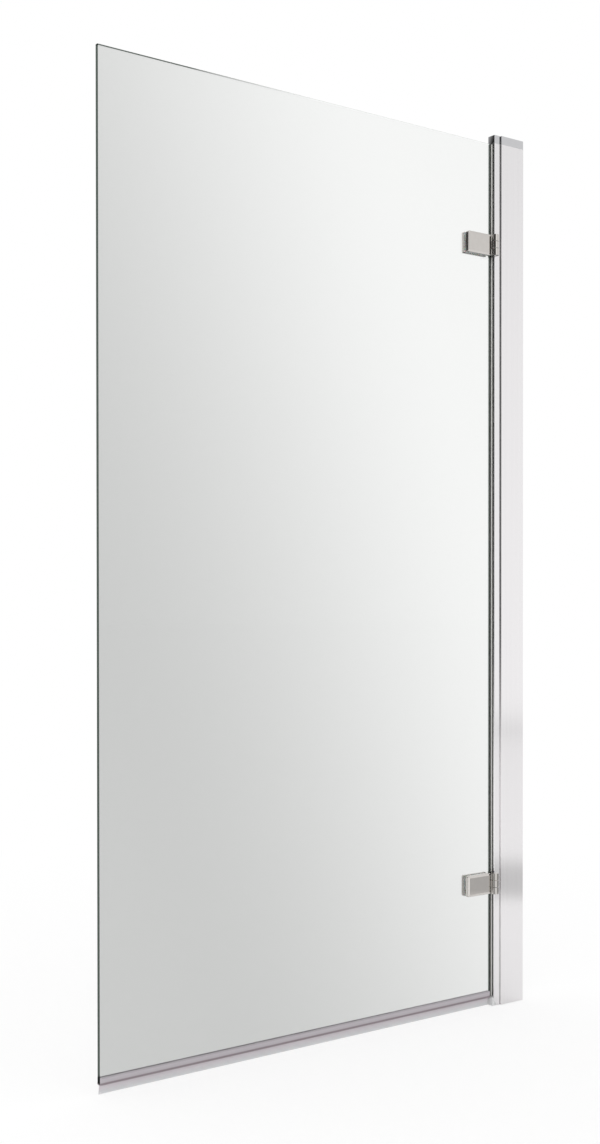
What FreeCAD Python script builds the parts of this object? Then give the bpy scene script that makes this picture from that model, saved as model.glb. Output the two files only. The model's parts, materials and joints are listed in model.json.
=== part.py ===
"""Hinged glass bath screen on a two-part wall post, in millimetres.

X = 0 is the wall face and the screen reaches towards -X. Y = 0 is the middle of the glass,
with the room at -Y and the bath at +Y. Z = 0 is the rim of the bath under the post.
"""
import FreeCAD, Part
import math
import os
import re

import Sketcher

SIZES = {
    # overall
    "screen_width": (790, "wall face to the free edge of the glass, post pushed right in"),
    "screen_height": (1435, "rim of the bath to the top of the caps"),
    "cap_height": (14, "top caps above the profiles"),
    # wall profile
    "wall_profile_depth": (50, "out from the wall"),
    "wall_profile_wall": (2.2, "sides and web"),
    "sliding_gap": (0.4, "each side between the two profiles"),
    "rim_radius": (0.8, "outer corners of the wall profile"),
    "wall_hole_diameter": (5.5, "clearance for the wall screws"),
    "wall_hole_inset": (92.5, "first and last wall hole, in from the profile's ends"),
    # adjusting profile
    "post_width": (16, "across the adjusting profile"),
    "post_shown": (13.5, "out of the wall profile, pushed right in"),
    "post_hidden": (35, "inside the wall profile, pushed right in"),
    "post_wall": (1.8, "sides"),
    "post_end_wall": (2.6, "end that carries the hinges"),
    "post_corner_radius": (1.8, "front and back corners of that end"),
    "post_travel": (20, "how far the adjusting profile slides out"),
    # side clamps
    "clamp_screw_diameter": (4, "shank"),
    "clamp_screw_inset": (120.5, "first and last clamp screw, in from the profile's ends"),
    "clamp_screw_setback": (8, "in from the open edge of the wall profile"),
    "clamp_head_diameter": (8, "pan head"),
    "clamp_head_height": (2.6, "pan head"),
    "head_crown": (0.8, "bevel round the pan head"),
    "clamp_nut_width": (9, "square nut"),
    "clamp_nut_thickness": (3.2, "square nut"),
    "cover_diameter": (12.6, "snap-on cover cap"),
    "cover_height": (4.4, "snap-on cover cap"),
    "cover_wall": (1, "snap-on cover cap"),
    "cover_crown": (1.6, "bevel round the cover cap"),
    "screw_clearance": (0.2, "round a screw in a plain hole"),
    "thread_clearance": (0.05, "round a screw in a tapped hole"),
    # top caps
    "cap_top_wall": (2.4, "roof of the wall cap"),
    "cap_gap": (0.3, "between the two caps"),
    "cap_plug_depth": (12, "plugs down into the profiles"),
    "cap_plug_length": (9.5, "wall cap's plug, out from the web"),
    "plug_clearance": (0.1, "each side of a plug"),
    "cap_edge_radius": (0.6, "rounded top edges"),
    # glass
    "glass_thickness": (6, "toughened sheet"),
    "glass_gap": (5, "hinge edge of the glass to the post"),
    "glass_top_drop": (1, "top of the glass below the profiles"),
    "glass_foot": (15.3, "bottom of the glass above the rim"),
    "glass_bevel": (0.5, "ground edges"),
    # hinges
    "upper_hinge_drop": (183, "middle of the upper hinge below the top of the caps"),
    "lower_hinge_height": (204, "middle of the lower hinge above the rim"),
    "hinge_height": (34, "leaves and barrel"),
    "barrel_diameter": (12.5, "knuckles"),
    "pin_diameter": (5, "hinge pin"),
    "pin_bevel": (0.4, "ends of the pin"),
    "pin_clearance": (0.05, "radial, pin in bush"),
    "bush_wall": (1, "flanged bush"),
    "bush_flange": (0.45, "flange thickness"),
    "bush_flange_rim": (1.5, "flange beyond the bush"),
    "bush_split": (0.2, "between the two bushes of a hinge"),
    "fit_clearance": (0.01, "radial, pressed pieces"),
    "knuckle_gap": (0.6, "between knuckles"),
    "axis_from_end": (3.5, "pin axis beyond the end of the post"),
    "axis_from_front": (5.6, "pin axis in front of the post"),
    "swing_clearance": (0.5, "round a turning knuckle"),
    "leaf_thickness": (3.2, "fixed leaf"),
    "leaf_reach": (6.5, "fixed leaf behind the middle of the glass"),
    "leaf_screw_diameter": (4, "flat-headed screws into the post"),
    "leaf_screw_pitch": (22, "between the two screws of a leaf"),
    "screw_tail": (0.6, "past the nut plate"),
    "screw_point": (0.4, "bevel at the end of a shank"),
    "screw_head_diameter": (7.4, "flat heads, sunk flush"),
    "screw_head_height": (1.8, "flat heads, sunk flush"),
    "screw_head_bevel": (0.25, "round the face of a head"),
    "socket_radius": (1.45, "hexagon socket, to its corners"),
    "socket_depth": (1.2, "hexagon socket"),
    "nut_plate_length": (30, "behind a fixed leaf"),
    "nut_plate_width": (10, "behind a fixed leaf"),
    "nut_plate_thickness": (3, "behind a fixed leaf"),
    "plate_length": (49, "clamp plates along the glass"),
    "plate_thickness": (7.2, "front clamp plate"),
    "plate_bevel": (1.8, "edges of the front clamp plate"),
    "plate_corner_radius": (2.2, "far corners of the plates"),
    "plate_to_barrel": (0.6, "front plate clear of the fixed knuckles"),
    "neck_inset": (0.4, "neck of the middle knuckle, in from the back of the barrel"),
    "back_plate_thickness": (6, "plate behind the glass"),
    "back_plate_bevel": (1.2, "edges of the plate behind the glass"),
    "gasket_thickness": (0.8, "between plate and glass"),
    "gasket_inset": (0.8, "gasket in from the edges of the plate"),
    "plate_screw_diameter": (4, "flat-headed clamp screws"),
    "plate_screw_pitch": (24, "between the two clamp screws"),
    "plate_screw_bite": (5, "thread in the front plate"),
    "glass_hole_diameter": (9, "holes in the glass"),
    "sleeve_diameter": (8.6, "sleeves in the glass holes"),
    # seals
    "seal_wall": (1.3, "bottom seal"),
    "seal_grip": (0.05, "each side between seal and glass"),
    "seal_leg": (11.7, "up the glass"),
    "seal_base": (2, "under the glass"),
    "seal_fin_thickness": (1.2, "drip fin"),
    "seal_neck": (4.6, "straight part of the fin, from the glass"),
    "seal_fin_flare": (3.4, "tip of the fin, towards the bath"),
    "seal_fin_height": (0.7, "tip of the fin above the rim"),
    "seal_inset": (0.6, "ends of the seal in from the edges of the glass"),
    "strip_foot_width": (5.6, "upright seal, foot on the post"),
    "strip_foot_thickness": (1, "upright seal, foot on the post"),
    "strip_bulb_wall": (0.7, "upright seal, bulb"),
    "strip_touch_gap": (0.3, "bulb to glass"),
    "strip_end_gap": (0.5, "ends of the upright seal to the hinges"),
    "block_height": (14.3, "foot block"),
    "block_foot_gap": (0.6, "foot block above the rim"),
    "block_glass_gap": (0.5, "foot block short of the glass edge"),
    "block_width": (13, "foot block across the post"),
    "ear_length": (5.4, "foot block's ear along the post"),
    "ear_height": (11, "foot block's ear up the post"),
    "ear_thickness": (0.7, "foot block's ear"),
}

# Places worked out from the sizes above. A name here may be used in the ones below it.
PLACES = {
    "profile_length": "screen_height - cap_height",
    "post_half": "post_width / 2",
    "channel_half": "post_half + sliding_gap",
    "wall_half": "channel_half + wall_profile_wall",
    "post_end": "-wall_profile_depth - post_shown",
    "post_back": "-wall_profile_depth + post_hidden",
    "post_inner": "post_half - post_wall",
    "glass_edge": "post_end - glass_gap",
    "glass_top": "profile_length - glass_top_drop",
    "glass_half": "glass_thickness / 2",
    "bulb_radius": "(glass_gap - strip_touch_gap - strip_foot_thickness / 2) / 2",
    "bulb_middle": "-glass_gap + strip_touch_gap + bulb_radius",
    "wall_hole_span": "profile_length - 2 * wall_hole_inset",
    "clamp_screw_span": "profile_length - 2 * clamp_screw_inset",
    "clamp_across": "-wall_profile_depth + clamp_screw_setback",
    "clamp_hole": "clamp_screw_diameter + 2 * screw_clearance",
    "nut_face": "post_inner - plug_clearance",
    "upper_hinge_height": "screen_height - upper_hinge_drop",
    "axis_across": "post_end - axis_from_end",
    "axis_front": "-post_half - axis_from_front",
    "barrel_radius": "barrel_diameter / 2",
    "bush_radius": "pin_diameter / 2 + pin_clearance + bush_wall",
    "half_height": "hinge_height / 2",
    "knuckle_height": "(hinge_height - 2 * knuckle_gap) / 3",
    "half_knuckle": "knuckle_height / 2",
    # Places on a hinge are taken from its pin axis at the middle of its height.
    "glass_middle": "-axis_front",
    "leaf_face": "axis_from_end - leaf_thickness",
    "front_gasket": "glass_middle - glass_half - gasket_thickness",
    "plate_front": "front_gasket - plate_thickness",
    "back_gasket": "glass_middle + glass_half + gasket_thickness",
    "plate_back": "back_gasket + back_plate_thickness",
    "plate_near": "-barrel_radius - plate_to_barrel",
    "plate_far": "plate_near - plate_length",
    "plate_middle": "(plate_near + plate_far) / 2",
    "near_plate_screw": "plate_middle + plate_screw_pitch / 2",
    "far_plate_screw": "plate_middle - plate_screw_pitch / 2",
    "neck_back": "barrel_radius - neck_inset",
    "plate_screw_length": "plate_back - front_gasket + plate_screw_bite",
    "leaf_screw_length": "leaf_thickness + post_end_wall + nut_plate_thickness + screw_tail",
    "leaf_hole": "leaf_screw_diameter + 2 * screw_clearance",
    "plate_hole": "plate_screw_diameter + 2 * screw_clearance",
    "screw_sink": "screw_head_diameter + 2 * screw_clearance",
    # Places on the bottom seal are taken from the bottom of the glass.
    "seal_inner": "glass_half + seal_grip",
    "seal_outer": "seal_inner + seal_wall",
    "seal_tip": "-glass_foot + seal_fin_height",
    "fin_root": "-seal_outer + seal_fin_thickness",
}

TURN_TO_BATH = (FreeCAD.Vector(1, 0, 0), -90)
TURN_TO_GLASS = (FreeCAD.Vector(0, 1, 0), -90)
WALL_HOLES = 4
CLAMP_SCREWS = 3
ORIGIN = (-1, 1)
# Where sketch points lie before their dimensions move them.
ROUGH_RADIUS = 10
ROUGH_TURN = 0.3
ROUGH_HOLE = 2
TINY = 1e-4

document = FreeCAD.newDocument("bath_screen")
sheet = document.addObject("Spreadsheet::Sheet", "sizes")
for row, (alias, (number, note)) in enumerate(SIZES.items(), start=1):
    sheet.set(f"A{row}", alias)
    sheet.set(f"B{row}", str(number))
    sheet.set(f"C{row}", note)
    sheet.setAlias(f"B{row}", alias)
document.recompute()

nodes = []


def formula(text):
    """Turns a formula of sizes and places into an expression of the document."""

    def swap(match):
        word = match.group(0)
        return f"({formula(PLACES[word])})" if word in PLACES else f"sizes.{word}"

    return re.sub(r"[a-z]+_[a-z_]+", swap, text)


def place(piece, across="0", front="0", height="0", turn=None):
    """Puts a piece's own origin at a place in the frame, turned about one axis."""
    if turn:
        axis, angle = turn
        piece.Placement = FreeCAD.Placement(FreeCAD.Vector(), FreeCAD.Rotation(axis, angle))
    piece.setExpression("Placement.Base.x", formula(across))
    piece.setExpression("Placement.Base.y", formula(front))
    piece.setExpression("Placement.Base.z", formula(height))


def node(piece, name):
    """Makes a finished piece one of the parts that are written out."""
    piece.Label = name
    nodes.append(piece)
    return piece


def new_body(name):
    return document.addObject("PartDesign::Body", name + "_body")


def new_sketch(body, plane, name):
    """An empty sketch on an origin plane of the body, or on one set off along its normal."""
    role, offset = plane if isinstance(plane, tuple) else (plane, "0")
    sketch = body.newObject("Sketcher::SketchObject", name)
    flat = next(item for item in body.Origin.OriginFeatures if item.Role == role)
    sketch.AttachmentSupport = [(flat, "")]
    sketch.MapMode = "FlatFace"
    sketch.setExpression("AttachmentOffset.Base.z", formula(offset))
    return sketch


def bind(sketch, constraint, name, text):
    """Adds a dimension and ties it to a formula."""
    index = sketch.addConstraint(constraint)
    sketch.renameConstraint(index, name)
    sketch.setExpression(f"Constraints.{name}", formula(text))


def outline(body, plane, name, corners):
    """A closed sketch of straight sides. Each corner is a pair of formulas."""
    sketch = new_sketch(body, plane, name)
    count = len(corners)
    angles = [2 * math.pi * (index + ROUGH_TURN) / count for index in range(count)]
    rough = [FreeCAD.Vector(math.cos(a), math.sin(a), 0) * ROUGH_RADIUS for a in angles]
    for index in range(count):
        sketch.addGeometry(Part.LineSegment(rough[index], rough[(index + 1) % count]), False)
    for index in range(count):
        sketch.addConstraint(Sketcher.Constraint("Coincident", index, 2, (index + 1) % count, 1))
    for index, (across, up) in enumerate(corners):
        start = rough[index]
        along = Sketcher.Constraint("DistanceX", *ORIGIN, index, 1, start.x)
        bind(sketch, along, f"corner{index}x", across)
        above = Sketcher.Constraint("DistanceY", *ORIGIN, index, 1, start.y)
        bind(sketch, above, f"corner{index}y", up)
    return sketch


def rectangle(body, plane, name, left, right, low, high):
    return outline(body, plane, name, [(left, low), (right, low), (right, high), (left, high)])


def circles(body, plane, name, centres, diameter):
    """A sketch of equal circles. Each centre is a pair of formulas."""
    sketch = new_sketch(body, plane, name)
    for index, (across, up) in enumerate(centres):
        middle = FreeCAD.Vector(2 * ROUGH_RADIUS * index, ROUGH_RADIUS, 0)
        sketch.addGeometry(Part.Circle(middle, FreeCAD.Vector(0, 0, 1), ROUGH_HOLE), False)
        along = Sketcher.Constraint("DistanceX", *ORIGIN, index, 3, middle.x)
        bind(sketch, along, f"centre{index}x", across)
        above = Sketcher.Constraint("DistanceY", *ORIGIN, index, 3, middle.y)
        bind(sketch, above, f"centre{index}y", up)
        bind(sketch, Sketcher.Constraint("Diameter", index, 4), f"circle{index}", diameter)
    return sketch


def pad(body, sketch, length, reverse=False, middle=False):
    feature = body.newObject("PartDesign::Pad", sketch.Name + "_pad")
    feature.Profile = sketch
    feature.Reversed = reverse
    feature.Midplane = middle
    feature.setExpression("Length", formula(length))
    document.recompute()
    return feature


def pocket(body, sketch, length=None, reverse=False, middle=False):
    """Cuts a sketch out of the body, and makes sure that something was cut."""
    before = body.Shape.Volume
    feature = body.newObject("PartDesign::Pocket", sketch.Name + "_pocket")
    feature.Profile = sketch
    feature.Reversed = reverse
    feature.Midplane = middle
    if length is None:
        feature.Type = "ThroughAll"
    else:
        feature.setExpression("Length", formula(length))
    document.recompute()
    if body.Shape.Volume >= before:
        raise RuntimeError(f"{feature.Name} cut nothing")
    return feature


def revolve(body, corners, name):
    """Turns a half section, in the XZ plane, once round Z."""
    sketch = outline(body, "XZ_Plane", name, corners)
    feature = body.newObject("PartDesign::Revolution", name + "_revolution")
    feature.Profile = sketch
    feature.ReferenceAxis = (sketch, ["V_Axis"])
    feature.Angle = 360
    document.recompute()
    return feature


def repeat(body, features, span, count):
    """Repeats features up the Z axis, first to last over a span."""
    pattern = body.newObject("PartDesign::LinearPattern", features[0].Name + "_pattern")
    pattern.Originals = features
    upright = next(item for item in body.Origin.OriginFeatures if item.Role == "Z_Axis")
    pattern.Direction = (upright, [""])
    pattern.setExpression("Length", formula(span))
    pattern.Occurrences = count
    body.Tip = pattern
    document.recompute()
    return pattern


def edges(shape, wanted):
    """Names of a shape's edges whose own box, against the whole box, passes a test."""
    whole = shape.BoundBox
    return [
        f"Edge{index}"
        for index, edge in enumerate(shape.Edges, start=1)
        if wanted(edge.BoundBox, whole)
    ]


def near(one, other):
    return abs(one - other) < TINY


def end_corner(edge, whole):
    """The two upright edges at the glass end of a profile or a cap."""
    outside = near(abs(edge.YMin), whole.YMax) and near(edge.XMax, whole.XMin)
    return outside and edge.YLength < TINY < edge.ZLength


def dress(body, kind, wanted, size):
    """Rounds (Fillet) or bevels (Chamfer) the edges that pass a test."""
    base = body.Tip
    names = edges(base.Shape, wanted)
    if not names:
        raise RuntimeError(f"{body.Name} has no edge for its {kind}")
    feature = body.newObject(f"PartDesign::{kind}", f"{body.Name}_{kind}")
    feature.Base = (base, names)
    feature.setExpression("Radius" if kind == "Fillet" else "Size", formula(size))
    document.recompute()
    return feature


def group(pieces, name):
    """Several equal pieces as one node of separate solids."""
    together = document.addObject("Part::Compound", name + "_group")
    together.Links = pieces
    return node(together, name)


# ---- wall post: the outer profile, screwed to the wall


def wall_profile():
    """Aluminium channel, open away from the wall, with its fixing and clamp holes."""
    body = new_body("wall_profile")
    section = [
        ("-wall_profile_depth", "-wall_half"),
        ("0", "-wall_half"),
        ("0", "wall_half"),
        ("-wall_profile_depth", "wall_half"),
        ("-wall_profile_depth", "channel_half"),
        ("-wall_profile_wall", "channel_half"),
        ("-wall_profile_wall", "-channel_half"),
        ("-wall_profile_depth", "-channel_half"),
    ]
    pad(body, outline(body, "XY_Plane", "wall_section", section), "profile_length")
    fixing = circles(
        body, "YZ_Plane", "wall_hole", [("0", "wall_hole_inset")], "wall_hole_diameter"
    )
    fixing_hole = pocket(body, fixing, "2 * wall_profile_wall")
    repeat(body, [fixing_hole], "wall_hole_span", WALL_HOLES)
    side = circles(body, "XZ_Plane", "side_hole", [("clamp_across", "clamp_screw_inset")], "clamp_hole")
    side_hole = pocket(body, side, "wall_half + wall_profile_wall")
    repeat(body, [side_hole], "clamp_screw_span", CLAMP_SCREWS)
    dress(body, "Fillet", end_corner, "rim_radius")
    place(body)
    return node(body, "wall_profile")


def wall_profile_cap():
    """Chromed cap on the wall profile, hollow where the other cap slides under it."""
    body = new_body("wall_profile_cap")
    roof = rectangle(
        body, "XY_Plane", "cap_roof", "-wall_profile_depth", "0", "-wall_half", "wall_half"
    )
    pad(body, roof, "cap_height")
    hollow = rectangle(
        body,
        "XY_Plane",
        "cap_hollow",
        "-wall_profile_depth - post_shown",
        "post_back + cap_gap",
        "-channel_half",
        "channel_half",
    )
    pocket(body, hollow, "cap_height - cap_top_wall", reverse=True)
    plug = rectangle(
        body,
        "XY_Plane",
        "cap_plug",
        "-wall_profile_wall - cap_plug_length",
        "-wall_profile_wall - plug_clearance",
        "-channel_half + plug_clearance",
        "channel_half - plug_clearance",
    )
    pad(body, plug, "cap_plug_depth", reverse=True)

    def top_side(edge, whole):
        on_top = near(edge.ZMin, whole.ZMax)
        return on_top and near(abs(edge.YMin), whole.YMax) and edge.YLength < TINY

    dress(body, "Fillet", top_side, "cap_edge_radius")
    place(body, height="profile_length")
    return node(body, "wall_profile_cap")


def clamp_height(index):
    return f"clamp_screw_inset + {index} * clamp_screw_span / {CLAMP_SCREWS - 1}"


def side_clamp_screw(index):
    """Pan-headed screw: its head is outside the wall profile and its point in the nut."""
    screw = new_body(f"side_clamp_screw_{index}")
    point = "-wall_half + nut_face - clamp_nut_thickness - screw_point"
    section = [
        ("0", point),
        ("clamp_screw_diameter / 2 - screw_point", point),
        ("clamp_screw_diameter / 2", f"{point} + screw_point"),
        ("clamp_screw_diameter / 2", "0"),
        ("clamp_head_diameter / 2", "0"),
        ("clamp_head_diameter / 2", "clamp_head_height - head_crown"),
        ("clamp_head_diameter / 2 - head_crown", "clamp_head_height"),
        ("0", "clamp_head_height"),
    ]
    revolve(screw, section, f"side_clamp_screw_{index}_half")
    place(screw, "clamp_across", "wall_half", clamp_height(index), TURN_TO_BATH)
    return screw


def clamp_nut(index):
    """Square nut inside the adjusting profile, just clear of its slotted side."""
    nut = new_body(f"clamp_nut_{index}")
    half = "clamp_nut_width / 2"
    square = rectangle(
        nut, "XY_Plane", f"clamp_nut_{index}_square", f"-{half}", half, f"-{half}", half
    )
    pad(nut, square, "clamp_nut_thickness", reverse=True)
    thread = "clamp_screw_diameter + 2 * thread_clearance"
    pocket(nut, circles(nut, "XY_Plane", f"clamp_nut_{index}_thread", [("0", "0")], thread))
    place(nut, "clamp_across", "nut_face", clamp_height(index), TURN_TO_BATH)
    return nut


def screw_cover(index):
    """Snap-on cap over the head of a clamp screw."""
    cover = new_body(f"screw_cover_{index}")
    radius = "cover_diameter / 2"
    section = [
        (f"{radius} - cover_wall", "0"),
        (radius, "0"),
        (radius, "cover_height - cover_crown"),
        (f"{radius} - cover_crown", "cover_height"),
        ("0", "cover_height"),
        ("0", "cover_height - cover_wall"),
        (f"{radius} - cover_wall", "cover_height - cover_wall"),
    ]
    revolve(cover, section, f"screw_cover_{index}_half")
    place(cover, "clamp_across", "wall_half", clamp_height(index), TURN_TO_BATH)
    return cover


# ---- adjusting post: the inner profile, which carries the hinges


def adjusting_profile():
    """Aluminium channel that slides in the wall profile, open towards the wall."""
    body = new_body("adjusting_profile")
    section = [
        ("post_end", "-post_half"),
        ("post_back", "-post_half"),
        ("post_back", "-post_inner"),
        ("post_end + post_end_wall", "-post_inner"),
        ("post_end + post_end_wall", "post_inner"),
        ("post_back", "post_inner"),
        ("post_back", "post_half"),
        ("post_end", "post_half"),
    ]
    pad(body, outline(body, "XY_Plane", "post_section", section), "profile_length")

    half_slot = "(clamp_screw_diameter / 2 + sliding_gap)"
    slot = rectangle(
        body,
        "XZ_Plane",
        "clamp_slot",
        "clamp_across",
        "clamp_across + post_travel",
        f"clamp_screw_inset - {half_slot}",
        f"clamp_screw_inset + {half_slot}",
    )
    slot_cut = pocket(body, slot, "wall_half")
    ends = circles(
        body,
        "XZ_Plane",
        "slot_ends",
        [("clamp_across", "clamp_screw_inset"), ("clamp_across + post_travel", "clamp_screw_inset")],
        f"2 * {half_slot}",
    )
    ends_cut = pocket(body, ends, "wall_half")
    repeat(body, [slot_cut, ends_cut], "clamp_screw_span", CLAMP_SCREWS)

    heights = [
        f"{hinge}_hinge_height {sign} leaf_screw_pitch / 2"
        for hinge in ("upper", "lower")
        for sign in "+-"
    ]
    fixing = circles(body, "YZ_Plane", "leaf_holes", [("0", up) for up in heights], "leaf_hole")
    pocket(body, fixing)
    dress(body, "Fillet", end_corner, "post_corner_radius")
    place(body)
    return node(body, "adjusting_profile")


def adjusting_profile_cap():
    """Chromed cap on the adjusting profile, with a low tongue under the wall cap's roof."""
    body = new_body("adjusting_profile_cap")
    tongue = rectangle(
        body, "XY_Plane", "tongue", "post_end", "post_back", "-post_half", "post_half"
    )
    pad(body, tongue, "cap_height - cap_top_wall - cap_gap")
    head = rectangle(
        body,
        "XY_Plane",
        "head",
        "post_end",
        "-wall_profile_depth - cap_gap",
        "-post_half",
        "post_half",
    )
    pad(body, head, "cap_height")
    plug = rectangle(
        body,
        "XY_Plane",
        "plug",
        "post_end + post_end_wall + plug_clearance",
        "post_back",
        "-post_inner + plug_clearance",
        "post_inner - plug_clearance",
    )
    pad(body, plug, "cap_plug_depth", reverse=True)
    dress(body, "Fillet", end_corner, "post_corner_radius")
    place(body, height="profile_length")
    return node(body, "adjusting_profile_cap")


def upright_seal(name, low, high):
    """One length of bulb seal on the end of the post, just clear of the glass."""
    body = new_body(name)
    foot = rectangle(
        body,
        "XY_Plane",
        name + "_foot",
        "-strip_foot_thickness",
        "0",
        "-strip_foot_width / 2",
        "strip_foot_width / 2",
    )
    length = f"({high}) - ({low})"
    pad(body, foot, length)
    stem = rectangle(
        body, "XY_Plane", name + "_stem", "bulb_middle", "0", "-bulb_radius", "bulb_radius"
    )
    pad(body, stem, length)
    middle = [("bulb_middle", "0")]
    bulb = circles(body, "XY_Plane", name + "_bulb", middle, "2 * bulb_radius")
    pad(body, bulb, length)
    hollow = "2 * (bulb_radius - strip_bulb_wall)"
    bore = circles(body, "XY_Plane", name + "_bore", middle, hollow)
    pocket(body, bore, length, reverse=True)
    place(body, "post_end", "0", low)
    return node(body, name)


def foot_block():
    """Clear block that closes the gap under the upright seal, with an ear on the post."""
    body = new_body("foot_block")
    core = rectangle(
        body,
        "XY_Plane",
        "block",
        "-glass_gap + block_glass_gap",
        "0",
        "-post_half",
        "-post_half + block_width",
    )
    pad(body, core, "block_height - block_foot_gap")
    ear = outline(
        body,
        "XZ_Plane",
        "ear",
        [
            ("-glass_gap + block_glass_gap", "0"),
            ("ear_length", "0"),
            ("0", "ear_height"),
            ("-glass_gap + block_glass_gap", "ear_height"),
        ],
    )
    pad(body, ear, "post_half + ear_thickness")
    behind = rectangle(
        body,
        "XY_Plane",
        "behind_ear",
        "0",
        "ear_length + ear_thickness",
        "-post_half",
        "post_half",
    )
    pocket(body, behind, "block_height", reverse=True)
    place(body, "post_end", "0", "block_foot_gap")
    return node(body, "foot_seal_block")


# ---- hinges: every place is taken from the pin axis at the middle of the hinge


def on_hinge(piece, name):
    place(piece, "axis_across", "axis_front", f"{name}_hinge_height")


def flat_head_screw(name, diameter, length):
    """Screw with its axis on Z, the face of its head at Z = 0 and a hexagon socket."""
    screw = new_body(name)
    radius = f"{diameter} / 2"
    head = "screw_head_diameter / 2"
    section = [
        ("0", f"-{length}"),
        (f"{radius} - screw_point", f"-{length}"),
        (radius, f"-{length} + screw_point"),
        (radius, "-screw_head_height"),
        (head, "-screw_head_height"),
        (head, "-screw_head_bevel"),
        (f"{head} - screw_head_bevel", "0"),
        ("0", "0"),
    ]
    revolve(screw, section, name + "_half")
    turns = [math.radians(60 * corner) for corner in range(6)]
    hexagon = [
        (f"socket_radius * {math.cos(turn):.6f}", f"socket_radius * {math.sin(turn):.6f}")
        for turn in turns
    ]
    pocket(screw, outline(screw, "XY_Plane", name + "_socket", hexagon), "socket_depth")
    return screw


def fixed_leaf(hinge):
    """Leaf on the end of the post with the top and bottom knuckles of the barrel."""
    name = f"{hinge}_fixed_leaf"
    body = new_body(name)
    flat = rectangle(
        body,
        "XY_Plane",
        name + "_flat",
        "leaf_face",
        "axis_from_end",
        "barrel_radius / 2",
        "glass_middle + leaf_reach",
    )
    pad(body, flat, "hinge_height", middle=True)
    axis = [("0", "0")]
    barrel = circles(body, "XY_Plane", name + "_barrel", axis, "barrel_diameter")
    pad(body, barrel, "hinge_height", middle=True)
    gap = circles(
        body, "XY_Plane", name + "_gap", axis, "barrel_diameter + 2 * swing_clearance"
    )
    pocket(body, gap, "knuckle_height + 2 * knuckle_gap", middle=True)
    bore = circles(body, "XY_Plane", name + "_bore", axis, "pin_diameter + 2 * fit_clearance")
    pocket(body, bore, "2 * hinge_height", middle=True)
    centres = [
        ("glass_middle", "leaf_screw_pitch / 2"),
        ("glass_middle", "-leaf_screw_pitch / 2"),
    ]
    holes = circles(body, "YZ_Plane", name + "_holes", centres, "leaf_hole")
    pocket(body, holes, "2 * axis_from_end", reverse=True)
    sinks = circles(body, ("YZ_Plane", "leaf_face"), name + "_sinks", centres, "screw_sink")
    pocket(body, sinks, "screw_head_height", reverse=True)
    on_hinge(body, hinge)
    return node(body, f"{hinge}_hinge_fixed_leaf")


def hinge_pin(hinge):
    """Stainless pin, pressed into the fixed leaf's knuckles and flush with the barrel."""
    name = f"{hinge}_pin"
    body = new_body(name)
    radius = "pin_diameter / 2"
    section = [
        ("0", "-half_height"),
        (f"{radius} - pin_bevel", "-half_height"),
        (radius, "-half_height + pin_bevel"),
        (radius, "half_height - pin_bevel"),
        (f"{radius} - pin_bevel", "half_height"),
        ("0", "half_height"),
    ]
    revolve(body, section, name + "_half")
    on_hinge(body, hinge)
    return node(body, f"{hinge}_hinge_pin")


def hinge_bushes(hinge):
    """Two flanged nylon bushes, pressed into the middle knuckle from above and below."""
    bushes = []
    for side, sign in (("top", ""), ("bottom", "-")):
        name = f"{hinge}_{side}_bush"
        bush = new_body(name)
        inner = "pin_diameter / 2 + pin_clearance"
        section = [
            (inner, f"{sign}bush_split / 2"),
            ("bush_radius", f"{sign}bush_split / 2"),
            ("bush_radius", f"{sign}half_knuckle"),
            ("bush_radius + bush_flange_rim", f"{sign}half_knuckle"),
            ("bush_radius + bush_flange_rim", f"{sign}(half_knuckle + bush_flange)"),
            (inner, f"{sign}(half_knuckle + bush_flange)"),
        ]
        revolve(bush, section, name + "_half")
        on_hinge(bush, hinge)
        bushes.append(bush)
    return group(bushes, f"{hinge}_hinge_bushes")


def leaf_screws(hinge):
    """Two screws through the fixed leaf and the end of the post into the nut plate."""
    screws = []
    for side, sign in (("top", "+"), ("bottom", "-")):
        name = f"{hinge}_{side}_leaf_screw"
        screw = flat_head_screw(name, "leaf_screw_diameter", "leaf_screw_length")
        height = f"{hinge}_hinge_height {sign} leaf_screw_pitch / 2"
        place(screw, "axis_across + leaf_face", "0", height, TURN_TO_GLASS)
        screws.append(screw)
    return group(screws, f"{hinge}_hinge_leaf_screws")


def nut_plate(hinge):
    """Tapped steel plate inside the adjusting profile, behind the fixed leaf."""
    name = f"{hinge}_nut_plate"
    body = new_body(name)
    blank = rectangle(
        body,
        "YZ_Plane",
        name + "_blank",
        "-nut_plate_width / 2",
        "nut_plate_width / 2",
        "-nut_plate_length / 2",
        "nut_plate_length / 2",
    )
    pad(body, blank, "nut_plate_thickness")
    centres = [("0", "leaf_screw_pitch / 2"), ("0", "-leaf_screw_pitch / 2")]
    thread = "leaf_screw_diameter + 2 * thread_clearance"
    holes = circles(body, "YZ_Plane", name + "_holes", centres, thread)
    pocket(body, holes, "2 * nut_plate_thickness", reverse=True)
    place(body, "post_end + post_end_wall", "0", f"{hinge}_hinge_height")
    return node(body, f"{hinge}_hinge_nut_plate")


def plate_blank(body, name, front, thickness, inset):
    """A plate parallel to the glass, from a front plane on, in from the plate's outline."""
    blank = rectangle(
        body,
        ("XZ_Plane", f"-({front})"),
        name + "_blank",
        f"plate_far + {inset}",
        f"plate_near - {inset}",
        f"-half_height + {inset}",
        f"half_height - {inset}",
    )
    pad(body, blank, thickness, reverse=True)


def far_corner(edge, whole):
    """The two short edges of a plate, square to the glass, that point away from the post."""
    through = edge.XLength < TINY and edge.ZLength < TINY
    return through and near(edge.XMin, whole.XMin)


SCREW_PLACES = [("near_plate_screw", "0"), ("far_plate_screw", "0")]


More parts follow.
